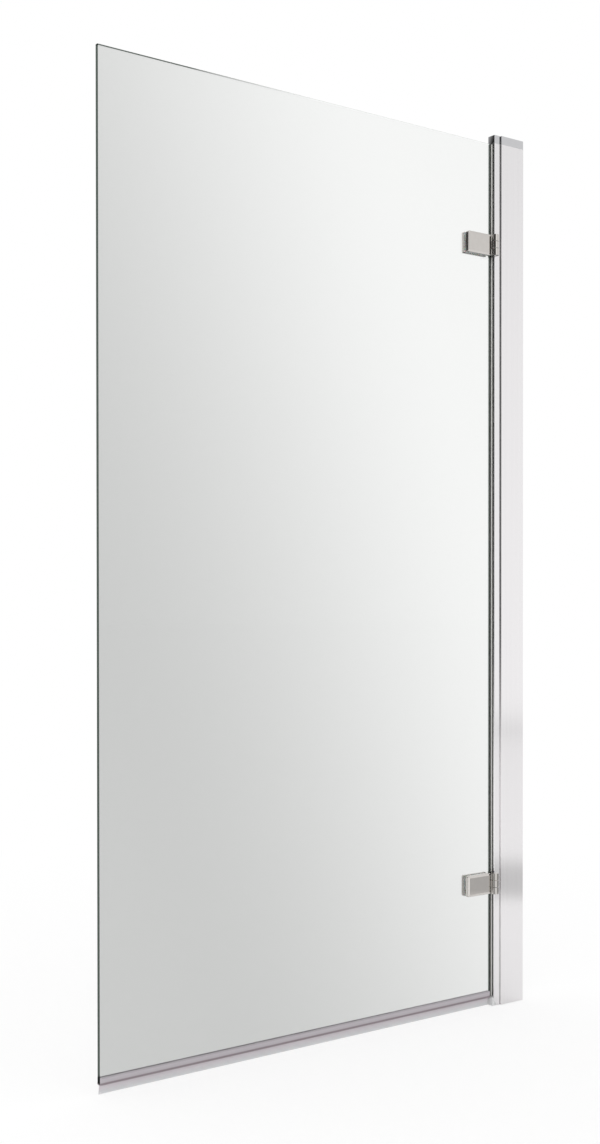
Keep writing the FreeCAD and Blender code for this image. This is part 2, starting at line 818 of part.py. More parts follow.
def clamp_leaf(hinge):
    """Front clamp plate, bevelled, with the middle knuckle on a neck at its near end."""
    name = f"{hinge}_clamp_leaf"
    body = new_body(name)
    plate_blank(body, name, "plate_front", "plate_thickness", "0")
    dress(body, "Fillet", far_corner, "plate_corner_radius")

    def front_rim(edge, whole):
        in_front = edge.YLength < TINY and near(edge.YMin, whole.YMin)
        return in_front and not near(edge.XMin, whole.XMax)

    dress(body, "Chamfer", front_rim, "plate_bevel")
    threads = circles(
        body,
        ("XZ_Plane", "-front_gasket"),
        name + "_threads",
        SCREW_PLACES,
        "plate_screw_diameter + 2 * thread_clearance",
    )
    pocket(body, threads, "plate_screw_bite + screw_tail", reverse=True)
    neck = rectangle(
        body, "XY_Plane", name + "_neck", "plate_near", "0", "plate_front", "neck_back"
    )
    pad(body, neck, "knuckle_height", middle=True)
    axis = [("0", "0")]
    knuckle = circles(body, "XY_Plane", name + "_knuckle", axis, "barrel_diameter")
    pad(body, knuckle, "knuckle_height", middle=True)
    bore = circles(
        body, "XY_Plane", name + "_bore", axis, "2 * (bush_radius + fit_clearance)"
    )
    pocket(body, bore, "hinge_height", middle=True)
    on_hinge(body, hinge)
    return node(body, f"{hinge}_hinge_clamp_leaf")


def gasket(hinge, side, front):
    """Thin pad between a plate and the glass."""
    name = f"{hinge}_{side}_gasket"
    body = new_body(name)
    plate_blank(body, name, front, "gasket_thickness", "gasket_inset")
    holes = circles(
        body, ("XZ_Plane", f"-({front})"), name + "_holes", SCREW_PLACES, "plate_hole"
    )
    pocket(body, holes, "2 * gasket_thickness")
    dress(body, "Fillet", far_corner, "plate_corner_radius - gasket_inset")
    on_hinge(body, hinge)
    return node(body, f"{hinge}_hinge_{side}_gasket")


def back_plate(hinge):
    """Bevelled plate on the bath side, with the sunk heads of the clamp screws."""
    name = f"{hinge}_back_plate"
    body = new_body(name)
    plate_blank(body, name, "back_gasket", "back_plate_thickness", "0")
    dress(body, "Fillet", far_corner, "plate_corner_radius")

    def back_rim(edge, whole):
        return edge.YLength < TINY and near(edge.YMax, whole.YMax)

    dress(body, "Chamfer", back_rim, "back_plate_bevel")
    face = ("XZ_Plane", "-plate_back")
    holes = circles(body, face, name + "_holes", SCREW_PLACES, "plate_hole")
    pocket(body, holes, "2 * back_plate_thickness", reverse=True)
    sinks = circles(body, face, name + "_sinks", SCREW_PLACES, "screw_sink")
    pocket(body, sinks, "screw_head_height", reverse=True)
    on_hinge(body, hinge)
    return node(body, f"{hinge}_hinge_back_plate")


def clamp_screws(hinge):
    """Two screws from the back plate through the glass into the front plate."""
    screws = []
    for side in ("near", "far"):
        name = f"{hinge}_{side}_clamp_screw"
        screw = flat_head_screw(name, "plate_screw_diameter", "plate_screw_length")
        across = f"axis_across + {side}_plate_screw"
        place(screw, across, "axis_front + plate_back", f"{hinge}_hinge_height", TURN_TO_BATH)
        screws.append(screw)
    return group(screws, f"{hinge}_hinge_clamp_screws")


def glass_sleeves(hinge):
    """Two sleeves that keep the clamp screws off the glass."""
    sleeves = []
    for side in ("near", "far"):
        name = f"{hinge}_{side}_sleeve"
        body = new_body(name)
        section = [
            ("plate_hole / 2", "-glass_half"),
            ("sleeve_diameter / 2", "-glass_half"),
            ("sleeve_diameter / 2", "glass_half"),
            ("plate_hole / 2", "glass_half"),
        ]
        revolve(body, section, name + "_half")
        across = f"axis_across + {side}_plate_screw"
        place(body, across, "0", f"{hinge}_hinge_height", TURN_TO_BATH)
        sleeves.append(body)
    return group(sleeves, f"{hinge}_hinge_glass_sleeves")


# ---- glass leaf


def glass_panel():
    """Toughened sheet with ground edges and two holes for each hinge."""
    body = new_body("glass_panel")
    sheet_outline = rectangle(
        body, "XZ_Plane", "glass_sheet", "-screen_width", "glass_edge", "glass_foot", "glass_top"
    )
    pad(body, sheet_outline, "glass_thickness", middle=True)

    def ground_edge(edge, whole):
        return edge.YLength < TINY

    dress(body, "Chamfer", ground_edge, "glass_bevel")
    centres = [
        (f"axis_across + {side}_plate_screw", f"{hinge}_hinge_height")
        for hinge in ("upper", "lower")
        for side in ("near", "far")
    ]
    holes = circles(body, "XZ_Plane", "glass_holes", centres, "glass_hole_diameter")
    pocket(body, holes, "2 * glass_thickness", middle=True)
    place(body)
    return node(body, "glass_panel")


def bottom_seal():
    """Extruded seal that grips the bottom of the glass, with a drip fin below."""
    body = new_body("bottom_seal")
    section = [
        ("-seal_outer", "seal_leg"),
        ("-seal_inner", "seal_leg"),
        ("-seal_inner", "0"),
        ("seal_inner", "0"),
        ("seal_inner", "seal_leg"),
        ("seal_outer", "seal_leg"),
        ("seal_outer", "-seal_base"),
        ("fin_root", "-seal_base"),
        ("fin_root", "-seal_neck"),
        ("fin_root + seal_fin_flare", "seal_tip"),
        ("-seal_outer + seal_fin_flare", "seal_tip"),
        ("-seal_outer", "-seal_neck"),
    ]
    profile = outline(body, "YZ_Plane", "seal_section", section)
    pad(body, profile, "screen_width + glass_edge - 2 * seal_inset", reverse=True)
    place(body, "glass_edge - seal_inset", "0", "glass_foot")
    return node(body, "bottom_seal")


wall_profile()
wall_profile_cap()
group([side_clamp_screw(index) for index in range(CLAMP_SCREWS)], "side_clamp_screws")
group([clamp_nut(index) for index in range(CLAMP_SCREWS)], "side_clamp_nuts")
group([screw_cover(index) for index in range(CLAMP_SCREWS)], "screw_cover_caps")
adjusting_profile()
adjusting_profile_cap()
foot_block()
upright_seal(
    "lower_upright_seal",
    "block_height + strip_end_gap",
    "lower_hinge_height - half_height - strip_end_gap",
)
upright_seal(
    "middle_upright_seal",
    "lower_hinge_height + half_height + strip_end_gap",
    "upper_hinge_height - half_height - strip_end_gap",
)
upright_seal(
    "upper_upright_seal",
    "upper_hinge_height + half_height + strip_end_gap",
    "glass_top",
)
for hinge in ("upper", "lower"):
    fixed_leaf(hinge)
    hinge_pin(hinge)
    hinge_bushes(hinge)
    leaf_screws(hinge)
    nut_plate(hinge)
    clamp_leaf(hinge)
    gasket(hinge, "front", "front_gasket")
    gasket(hinge, "back", "glass_middle + glass_half")
    back_plate(hinge)
    clamp_screws(hinge)
    glass_sleeves(hinge)
glass_panel()
bottom_seal()

document.recompute()
for item in document.Objects:
    if "Invalid" in item.State or "Error" in item.State:
        raise RuntimeError(f"{item.Label} failed: {item.State}")
for item in nodes:
    if item.Shape.isNull() or not item.Shape.isValid():
        raise RuntimeError(f"{item.Label} has no valid shape")
os.makedirs("parts", exist_ok=True)
for item in nodes:
    item.Shape.exportStep(f"parts/{item.Label}.step")
    print(item.Label, len(item.Shape.Solids), round(item.Shape.Volume, 2), item.Shape.BoundBox)
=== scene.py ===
import json
import math

import bmesh
import bpy
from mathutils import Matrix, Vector

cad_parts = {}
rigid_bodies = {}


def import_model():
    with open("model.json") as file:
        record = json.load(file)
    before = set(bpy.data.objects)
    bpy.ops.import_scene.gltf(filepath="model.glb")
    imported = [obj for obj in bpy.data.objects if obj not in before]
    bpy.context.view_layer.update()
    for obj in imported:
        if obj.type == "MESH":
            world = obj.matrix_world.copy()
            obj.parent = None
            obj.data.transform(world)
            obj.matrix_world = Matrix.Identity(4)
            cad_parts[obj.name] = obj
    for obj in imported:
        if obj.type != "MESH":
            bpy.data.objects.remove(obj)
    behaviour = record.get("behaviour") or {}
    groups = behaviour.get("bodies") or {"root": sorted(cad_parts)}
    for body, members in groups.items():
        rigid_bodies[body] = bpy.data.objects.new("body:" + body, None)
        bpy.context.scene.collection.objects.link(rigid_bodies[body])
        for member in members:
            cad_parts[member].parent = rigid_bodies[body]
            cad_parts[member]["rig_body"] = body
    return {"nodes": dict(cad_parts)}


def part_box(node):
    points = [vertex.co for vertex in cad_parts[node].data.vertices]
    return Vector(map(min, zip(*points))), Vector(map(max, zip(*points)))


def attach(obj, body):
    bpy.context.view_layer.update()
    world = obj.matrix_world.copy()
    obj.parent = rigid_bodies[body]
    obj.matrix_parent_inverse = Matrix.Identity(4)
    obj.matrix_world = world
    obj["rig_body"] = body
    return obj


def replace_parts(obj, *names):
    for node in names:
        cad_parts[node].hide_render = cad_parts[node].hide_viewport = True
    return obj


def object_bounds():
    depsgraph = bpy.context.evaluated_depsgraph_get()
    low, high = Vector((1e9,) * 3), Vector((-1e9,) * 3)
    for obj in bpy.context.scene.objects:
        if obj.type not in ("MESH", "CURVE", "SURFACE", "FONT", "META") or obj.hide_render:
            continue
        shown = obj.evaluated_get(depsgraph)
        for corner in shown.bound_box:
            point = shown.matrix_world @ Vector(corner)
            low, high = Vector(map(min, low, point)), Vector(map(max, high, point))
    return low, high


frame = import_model()
cad_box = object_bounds()

# ---- Wall post
# Two extruded aluminium channels, one sliding in the other: the wider is screwed to the wall and
# the narrower carries the hinges. Both are polished and then clear anodised.

MM = 0.001
PROFILES = ("wall_profile", "adjusting_profile")
ALUMINIUM = ("#EAE8E9", "#EDEBEC")
ALUMINIUM_ROUGHNESS = (0.09, 0.11)
DIE_LINE_MM = (0.8, 0.8, 700)  # real die lines are some 0.2 mm apart, too fine to show
DIE_LINE_RELIEF = (0.004, 0.2)  # depth in millimetres, and strength
TONE_STOPS = (0.35, 0.65)  # the part of the noise over which one tone turns into the other
WEAR_STOPS = (0.3, 0.7)  # the part of it over which the roughness wanders


def linear(colour):
    """An sRGB hex value as a linear colour."""
    parts = [int(colour[place:place + 2], 16) / 255 for place in (1, 3, 5)]
    return [p / 12.92 if p <= 0.04045 else ((p + 0.055) / 1.055) ** 2.4 for p in parts] + [1]


def add_node(tree, kind, settings, links=None):
    """Adds a shader node, with its settings and the outputs that feed its inputs."""
    node = tree.nodes.new("ShaderNode" + kind)
    for name, value in settings.items():
        if hasattr(node, str(name)):
            setattr(node, name, value)
        else:
            node.inputs[name].default_value = value
    for name, source in (links or {}).items():
        tree.links.new(source, node.inputs[name])
    return node


def principled(name, settings):
    """A material with one Principled shader, its even values set on the shader itself."""
    material = bpy.data.materials.new(name)
    material.use_nodes = True
    shader = material.node_tree.nodes["Principled BSDF"]
    for socket, value in settings.items():
        shader.inputs[socket].default_value = value
    return material, material.node_tree, shader


def grain(tree, size_mm, detail=2.0):
    """Noise over the object's own space, one grain to each size along X, Y and Z."""
    place = add_node(tree, "TexCoord", {})
    scale = [1 / (size * MM) for size in size_mm]
    spread = add_node(tree, "Mapping", {"Scale": scale}, {"Vector": place.outputs["Object"]})
    settings = {"Scale": 1.0, "Detail": detail}
    noise = add_node(tree, "TexNoise", settings, {"Vector": spread.outputs["Vector"]})
    return noise.outputs["Fac"]


def two_tones(tree, shader, colours, pattern):
    """Lets the surface's colour wander between two near tones."""
    ramp = add_node(tree, "ValToRGB", {}, {"Fac": pattern})
    for element, colour, stop in zip(ramp.color_ramp.elements, colours, TONE_STOPS):
        element.color = linear(colour)
        element.position = stop
    tree.links.new(ramp.outputs["Color"], shader.inputs["Base Color"])
    return ramp.outputs["Color"]


def worn(tree, shader, pattern, roughness):
    """Lets the roughness wander with a pattern, as handling and wiping leave it."""
    span = {"From Min": WEAR_STOPS[0], "From Max": WEAR_STOPS[1]}
    span.update({"To Min": roughness[0], "To Max": roughness[1]})
    wear = add_node(tree, "MapRange", span, {"Value": pattern})
    tree.links.new(wear.outputs["Result"], shader.inputs["Roughness"])


def relief(tree, shader, pattern, depth_mm, strength):
    """Raises the surface a little by a pattern."""
    settings = {"Strength": strength, "Distance": depth_mm * MM}
    bump = add_node(tree, "Bump", settings, {"Height": pattern})
    tree.links.new(bump.outputs["Normal"], shader.inputs["Normal"])


def polished_aluminium():
    """Polished, clear anodised 6063 aluminium: bright, a little soft, with upright die lines."""
    material, tree, shader = principled("polished_aluminium", {"Metallic": 1.0})
    lines = grain(tree, DIE_LINE_MM)
    two_tones(tree, shader, ALUMINIUM, lines)
    worn(tree, shader, lines, ALUMINIUM_ROUGHNESS)
    relief(tree, shader, lines, *DIE_LINE_RELIEF)
    return material


def finish_node(name, material):
    """Gives a CAD piece, whose shape is right, its real finish."""
    frame["nodes"][name].material_slots[0].material = material


aluminium = polished_aluminium()
for name in PROFILES:
    finish_node(name, aluminium)

# ---- Top caps
# One zinc casting closes each profile: plugged in, polished and chromed, with its edges eased.
# The wall profile's cap is hollow, so that the other one slides under its roof.

CAPS = ("wall_profile_cap", "adjusting_profile_cap")
CAP_CHROME = ("#CDCDCF", "#CFCFD1")
CHROME_ROUGHNESS = (0.02, 0.035)
RIPPLE_MM = 9  # the slow ripple that plating leaves in a polished face
RIPPLE_RELIEF = (0.008, 0.2)  # depth in millimetres, and strength
# Painted shade: this dark colour goes on every chrome face that points down.
PAINTED_UNDERSIDE_SHADE = "#4C4B4A"
DOWNWARD = -0.7  # a face is an underside where its normal's height is below this
CAP_EDGE_MM = 0.5
CAP_DRAFT = math.tan(math.radians(1.0))
DRAFT_REACH_MM = 2.5  # how far in from its free end a piece is drafted
WELD_MM = 0.002  # points closer than this are one point
FLAT = math.radians(0.6)  # faces that turn less than this are one flat
SHARP = math.radians(32)  # edges that turn more than this are rounded off
SMOOTH = math.radians(50)  # edges that turn less than this are shaded as round
EDGE_STEPS = 3


def coordinate(tree, axis, kind="Object"):
    """One coordinate of each point in the object's own space, or of its normal there."""
    place = add_node(tree, "TexCoord", {})
    parts = add_node(tree, "SeparateXYZ", {}, {"Vector": place.outputs[kind]})
    return parts.outputs[axis]


def chrome(name, colours, roughness):
    """Chrome plate: a cool mirror with a faint ripple, and painted shade on its undersides."""
    material, tree, shader = principled(name, {"Metallic": 1.0})
    ripple = grain(tree, (RIPPLE_MM, RIPPLE_MM, RIPPLE_MM))
    plate = two_tones(tree, shader, colours, ripple)
    # Faces that point down are painted dark, as shade under the piece.
    downward = {"operation": "LESS_THAN", 1: DOWNWARD}
    below = add_node(tree, "Math", downward, {0: coordinate(tree, "Z", "Normal")})
    parts = {"Fac": below.outputs["Value"], "Color1": plate}
    tone = add_node(tree, "MixRGB", {"Color2": linear(PAINTED_UNDERSIDE_SHADE)}, parts)
    tree.links.new(tone.outputs["Color"], shader.inputs["Base Color"])
    worn(tree, shader, ripple, roughness)
    relief(tree, shader, ripple, *RIPPLE_RELIEF)
    return material


def as_piece(name, shape, material, body):
    """Makes a shown piece of a finished shape: flats stay flat, and round edges smooth."""
    mesh = bpy.data.meshes.new(name)
    shape.to_mesh(mesh)
    shape.free()
    mesh.shade_smooth()
    mesh.set_sharp_from_angle(angle=SMOOTH)
    mesh.materials.append(material)
    piece = bpy.data.objects.new(name, mesh)
    bpy.context.scene.collection.objects.link(piece)
    piece.modifiers.new("flats", "WEIGHTED_NORMAL").keep_sharp = True
    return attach(piece, body)


def cleaned(source):
    """A CAD piece's mesh with its flats whole again, to work on."""
    shape = bmesh.new()
    shape.from_mesh(source.data)
    bmesh.ops.remove_doubles(shape, verts=shape.verts, dist=WELD_MM * MM)
    bmesh.ops.dissolve_limit(shape, angle_limit=FLAT, verts=shape.verts, edges=shape.edges)
    return shape


def round_edges(shape, edge_mm):
    """Rounds off every sharp edge."""
    sharp = [e for e in shape.edges if e.is_manifold and e.calc_face_angle() > SHARP]
    bmesh.ops.bevel(
        shape, geom=sharp, offset=edge_mm * MM, offset_type="OFFSET", segments=EDGE_STEPS,
        profile=0.5, affect="EDGES", clamp_overlap=True,
    )


def add_draft(shape, node, slope):
    """Draws in the back of the end that faces away from the wall, as the mould leaves it."""
    low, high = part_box(node)
    for vert in shape.verts:
        if vert.co.x < low.x + DRAFT_REACH_MM * MM:
            vert.co.x += (vert.co.y - low.y) * slope


def eased(node, material, edge_mm, slope=0.0):
    """A copy of a CAD piece with its sharp edges rounded off, which stands for it."""
    source = frame["nodes"][node]
    shape = cleaned(source)
    add_draft(shape, node, slope)
    round_edges(shape, edge_mm)
    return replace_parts(as_piece(node + "_eased", shape, material, source["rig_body"]), node)


cap_chrome = chrome("chromed_zinc", CAP_CHROME, CHROME_ROUGHNESS)
for name in CAPS:
    eased(name, cap_chrome, CAP_EDGE_MM, CAP_DRAFT)

# ---- Side clamps
# Three stainless pan-headed screws go through both profiles into square nuts and lock the width.
# A chrome-plated ABS cover snaps over each head, on the bath side.

STEEL = ("#B4B3B0", "#C4C3C0")
STEEL_ROUGHNESS = (0.22, 0.38)
TURNING_MM = 0.5  # real turning marks are some 0.1 mm apart, too fine to show
TURNING_DETAIL = 4.0
TURNING_RELIEF = (0.02, 0.4)  # depth in millimetres, and strength
COVER_CHROME = ("#C2C2C4", "#CCCCCE")
COVER_ROUGHNESS = (0.1, 0.18)
COVER_WALL_MM = 1.0
COVER_EDGE_MM = 0.4
COVER_SIDE = 0.45  # the share of its height over which a cover goes straight up
COVER_STEPS = 64
DOME_STEPS = 12


def stainless_steel():
    """A2 stainless: warm grey, drawn and turned, so its shine is broken by fine marks."""
    material, tree, shader = principled("stainless_steel", {"Metallic": 1.0})
    marks = grain(tree, (TURNING_MM, TURNING_MM, TURNING_MM), TURNING_DETAIL)
    two_tones(tree, shader, STEEL, marks)
    worn(tree, shader, marks, STEEL_ROUGHNESS)
    relief(tree, shader, marks, *TURNING_RELIEF)
    return material


def dome(radius, side, top):
    """A quarter oval from the side of a cover up to its middle, as (radius, height)."""
    turns = [math.pi / 2 * step / DOME_STEPS for step in range(DOME_STEPS + 1)]
    return [(radius * math.cos(t), side + (top - side) * math.sin(t)) for t in turns]


def cover_outline(radius, height):
    """Half section of a cover, as (radius, height): up its side, over its dome and back inside."""
    side = height * COVER_SIDE
    inner = radius - COVER_WALL_MM
    outline = [(inner, 0), (radius - COVER_EDGE_MM / 2, 0), (radius, COVER_EDGE_MM / 2)]
    return outline + dome(radius, side, height) + dome(inner, side, height - COVER_WALL_MM)[::-1]


def turned(shape, outline, middle):
    """Turns a half section once round an axis along +Y, through a point in millimetres."""
    rings = []
    for step in range(COVER_STEPS):
        turn = 2 * math.pi * step / COVER_STEPS
        rings.append([
            shape.verts.new(Vector((
                middle[0] + r * math.cos(turn), middle[1] + h, middle[2] + r * math.sin(turn),
            )) * MM)
            for r, h in outline
        ])
    count = len(outline)
    for step in range(COVER_STEPS):
        this, following = rings[step], rings[(step + 1) % COVER_STEPS]
        for k in range(count):
            after = (k + 1) % count
            shape.faces.new([this[k], this[after], following[after], following[k]])


def screw_covers(material):
    """The three domed covers, each at the middle of its CAD solid."""
    low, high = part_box("screw_cover_caps")
    radius = (high.x - low.x) / 2 / MM
    height = (high.y - low.y) / MM
    across = (low.x + high.x) / 2 / MM
    first, last = low.z / MM + radius, high.z / MM - radius
    shape = bmesh.new()
    for up in (first, (first + last) / 2, last):
        turned(shape, cover_outline(radius, height), (across, low.y / MM, up))
    bmesh.ops.remove_doubles(shape, verts=shape.verts, dist=WELD_MM * MM)
    bmesh.ops.recalc_face_normals(shape, faces=shape.faces)
    piece = as_piece("screw_covers", shape, material, "wall_post")
    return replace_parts(piece, "screw_cover_caps")


steel = stainless_steel()
for name in ("side_clamp_screws", "side_clamp_nuts"):
    finish_node(name, steel)
screw_covers(chrome("chromed_abs", COVER_CHROME, COVER_ROUGHNESS))

# ---- Upright seals
# Soft olive PVC bulb strip, pushed onto the end of the post in three lengths that stop at the
# hinges. The hollow bulb closes the gap to the edge of the glass.

UPRIGHT_SEALS = ("lower_upright_seal", "middle_upright_seal", "upper_upright_seal")
OLIVE_PVC = ("#1B1D18", "#252721")
FOOT_PVC = "#D2D2CE"
FOOT_SHOWN_MM = 1.3  # how far out from the post the pale foot reaches
PVC_IOR = 1.53
PVC_ROUGHNESS = (0.28, 0.42)
PVC_RELIEF = (0.02, 0.3)  # depth in millimetres, and strength
STRIP_LINE_MM = (2, 2, 300)  # drag lines along the strip, some 2 mm apart
BULB_WALL_MM = 0.7
BULB_STEPS = 40
BULB_START = 50  # degrees, to each side of the foot, at which the bulb leaves it
BORE_END = 9  # degrees, at which the round bore stops short of where it began
FOOT_MM = 1.0
FOOT_EDGE_MM = 0.4
FOOT_STEPS = 4


def soft_pvc(name, settings, grain_mm):
    """Extruded or moulded soft PVC, with a smooth, slightly waxy skin and faint drag lines."""
    material, tree, shader = principled(name, {"IOR": PVC_IOR, **settings})
    lines = grain(tree, grain_mm)
    worn(tree, shader, lines, PVC_ROUGHNESS)
    relief(tree, shader, lines, *PVC_RELIEF)
    return material, tree, shader, lines


def two_part_pvc():
    """Olive soft PVC bulb, nearly black, run out in one with a pale stiff PVC foot."""
    material, tree, shader, lines = soft_pvc("olive_pvc", {}, STRIP_LINE_MM)
    bulb = two_tones(tree, shader, OLIVE_PVC, lines)
    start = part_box(UPRIGHT_SEALS[0])[1].x - FOOT_SHOWN_MM * MM
    beyond = {"operation": "GREATER_THAN", 1: start}
    foot = add_node(tree, "Math", beyond, {0: coordinate(tree, "X")})
    parts = {"Fac": foot.outputs["Value"], "Color1": bulb}
    tone = add_node(tree, "MixRGB", {"Color2": linear(FOOT_PVC)}, parts)
    tree.links.new(tone.outputs["Color"], shader.inputs["Base Color"])
    return material


def arc(middle, radius, first, last, steps):
    """Points on an arc, from the first angle to the last, in degrees."""
    turns = [math.radians(first + (last - first) * step / steps) for step in range(steps + 1)]
    return [(middle[0] + radius * math.cos(t), middle[1] + radius * math.sin(t)) for t in turns]


def extruded(outline, low, high, along, bore=None):
    """A closed solid: an outline in millimetres, and any bore in it, pushed along an axis."""
    order = {"x": (1, 2, 0), "z": (0, 1, 2)}[along]
    shape = bmesh.new()
    ends = {low: [], high: []}
    for loop in (outline, bore or []):
        rings = []
        for level, edges in ends.items():
            ring = []
            for point in loop:
                place = [0, 0, 0]
                for axis, value in zip(order, (*point, level)):
                    place[axis] = value * MM
                ring.append(shape.verts.new(place))
            edges += [shape.edges.new((ring[k - 1], ring[k])) for k in range(len(ring))]
            rings.append(ring)
        for k in range(len(loop)):
            shape.faces.new([rings[0][k - 1], rings[0][k], rings[1][k], rings[1][k - 1]])
    for edges in ends.values():
        bmesh.ops.triangle_fill(shape, use_beauty=True, use_dissolve=False, edges=edges)
    bmesh.ops.recalc_face_normals(shape, faces=shape.faces)
    return shape


def bulb_strip(node, material):
    """One length of bulb strip: a flat foot on the post and a round hollow bulb."""
    low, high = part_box(node)
    half_foot = high.y / MM
    face, tip = high.x / MM, low.x / MM
    foot = face - FOOT_MM
    radius = (foot + FOOT_MM / 2 - tip) / 2
    middle = (tip + radius, 0)
    edge = (foot + FOOT_EDGE_MM, half_foot - FOOT_EDGE_MM)
    outline = [(face, -half_foot), (face, half_foot)]
    outline += arc(edge, FOOT_EDGE_MM, 90, 180, FOOT_STEPS)
    outline += arc(middle, radius, BULB_START, 360 - BULB_START, BULB_STEPS)
    outline += arc((edge[0], -edge[1]), FOOT_EDGE_MM, 180, 270, FOOT_STEPS)
    bore = arc(middle, radius - BULB_WALL_MM, 360, BORE_END, BULB_STEPS)
    shape = extruded(outline, low.z / MM, high.z / MM, "z", bore)
    piece = as_piece(node + "_strip", shape, material, "adjusting_post")
    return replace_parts(piece, node)


olive_pvc = two_part_pvc()
for name in UPRIGHT_SEALS:
    bulb_strip(name, olive_pvc)

# ---- Foot block
# A clear moulded PVC block closes the gap below the upright seal. Its three-cornered ear laps
# onto the front of the post, and it is pushed on by hand.

BLOCK_PVC = ("#F8F9F9", "#FCFDFD")
BLOCK_CLOUD_MM = (8, 8, 8)  # slow clouds, a little narrower than the block
BLOCK_BODY = {
    "Subsurface Weight": 0.5, "Subsurface Scale": 4 * MM, "Subsurface Radius": (1, 1, 1),
    "Transmission Weight": 0.3,
}
BLOCK_EDGE_MM = 0.35


def clear_pvc(name, colours, settings, grain_mm):
    """Clear soft PVC: nearly white and slightly cloudy, with light wandering in it."""
    material, tree, shader, cloud = soft_pvc(name, settings, grain_mm)
    two_tones(tree, shader, colours, cloud)
    return material


block_pvc = clear_pvc("clear_pvc", BLOCK_PVC, BLOCK_BODY, BLOCK_CLOUD_MM)
eased("foot_seal_block", block_pvc, BLOCK_EDGE_MM)

# ---- Hinges
# Forged brass, polished and chromed. A fixed leaf with two knuckles is screwed to the end of the
# post, and a clamp leaf with the middle knuckle grips the glass against a plate behind it.

HINGES = ("upper_hinge_", "lower_hinge_")
HINGE_CHROME = ("#CCC8C4", "#CFCBC7")
HINGE_EDGE_MM = 0.35
CLAMP_EDGE_MM = 0.6
# The shallow bevel round the clamp leaf, past the CAD one: further in, and less deep.
BEVEL_IN_MM = 1.4
BEVEL_UP_MM = 0.7
BEVEL_END_MM = 5  # in from the free end of the leaf, where the bevel across that end lies
BEVEL_SIDE_MM = 10  # up and down from the leaf's middle, past which the long bevels lie
PLATE_DRAFT = math.tan(math.radians(2.0))
STAINLESS = ("pin", "leaf_screws", "clamp_screws")
NYLON = ("#E2DED3", "#EBE8DF")
NYLON_BODY = {"IOR": 1.53, "Subsurface Weight": 0.15, "Subsurface Scale": 0.5 * MM}
NYLON_ROUGHNESS = (0.35, 0.5)
NYLON_CLOUD_MM = (3, 3, 3)  # slow clouds some 3 mm across
ZINC = ("#A9ABAA", "#BDBFBC")
ZINC_ROUGHNESS = (0.35, 0.5)
SPANGLE_MM = (2, 2, 2)
SPANGLE_DETAIL = 3.0
GASKET_PVC = ("#E2E4E3", "#EBEDEC")
GASKET_BODY = {"Subsurface Weight": 0.2, "Subsurface Scale": 1 * MM}
GASKET_CLOUD_MM = (6, 6, 6)
GASKET_GAP_MM = 0.05


def nylon():
    """Moulded PA6: milky, with a soft sheen."""
    material, tree, shader = principled("moulded_nylon", NYLON_BODY)
    cloud = grain(tree, NYLON_CLOUD_MM)
    two_tones(tree, shader, NYLON, cloud)
    worn(tree, shader, cloud, NYLON_ROUGHNESS)
    return material


def zinc_plate():
    """Zinc-plated mild steel: dull grey with a spangle some 2 mm across."""
    material, tree, shader = principled("zinc_plated_steel", {"Metallic": 1.0})
    spangle = grain(tree, SPANGLE_MM, SPANGLE_DETAIL)
    two_tones(tree, shader, ZINC, spangle)
    worn(tree, shader, spangle, ZINC_ROUGHNESS)
    return material


def clamp_leaf(node, material):
    """The front leaf, with a wide shallow bevel in place of the plain one."""
    source = frame["nodes"][node]
    low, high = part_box(node)
    middle = (low.z + high.z) / 2
    shape = cleaned(source)
    face = min(v.co.y for v in shape.verts if v.co.x < low.x + BEVEL_END_MM * MM)
    start = min(v.co.y for v in shape.verts if v.co.x < low.x + WELD_MM * MM)
    for vert in shape.verts:
        if abs(vert.co.y - face) < WELD_MM * MM:
            if vert.co.x < low.x + BEVEL_END_MM * MM:
                vert.co.x += BEVEL_IN_MM * MM
            if abs(vert.co.z - middle) > BEVEL_SIDE_MM * MM:
                vert.co.z -= math.copysign(BEVEL_IN_MM * MM, vert.co.z - middle)
        elif abs(vert.co.y - start) < WELD_MM * MM:
            vert.co.y -= BEVEL_UP_MM * MM
    round_edges(shape, CLAMP_EDGE_MM)
    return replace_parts(as_piece(node + "_eased", shape, material, source["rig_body"]), node)


def gasket(node, material):
    """A clear pad, drawn back a hair from the glass that it presses on."""
    source = frame["nodes"][node]
    shape = cleaned(source)
    glass_low, glass_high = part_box("glass_panel")
    for vert in shape.verts:
        if glass_low.y - WELD_MM * MM < vert.co.y < glass_high.y + WELD_MM * MM:
            vert.co.y += math.copysign(GASKET_GAP_MM * MM, vert.co.y)
    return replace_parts(as_piece(node + "_pad", shape, material, source["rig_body"]), node)


hinge_chrome = chrome("chromed_brass", HINGE_CHROME, CHROME_ROUGHNESS)
bush_nylon = nylon()
nut_steel = zinc_plate()
gasket_pvc = clear_pvc("gasket_pvc", GASKET_PVC, GASKET_BODY, GASKET_CLOUD_MM)
for hinge in HINGES:
    clamp_leaf(hinge + "clamp_leaf", hinge_chrome)
    eased(hinge + "fixed_leaf", hinge_chrome, HINGE_EDGE_MM)
    eased(hinge + "back_plate", hinge_chrome, HINGE_EDGE_MM, PLATE_DRAFT)
    for name in STAINLESS:
        finish_node(hinge + name, steel)
    for name in ("bushes", "glass_sleeves"):
        finish_node(hinge + name, bush_nylon)
    finish_node(hinge + "nut_plate", nut_steel)
    for name in ("front_gasket", "back_gasket"):
        gasket(hinge + name, gasket_pvc)
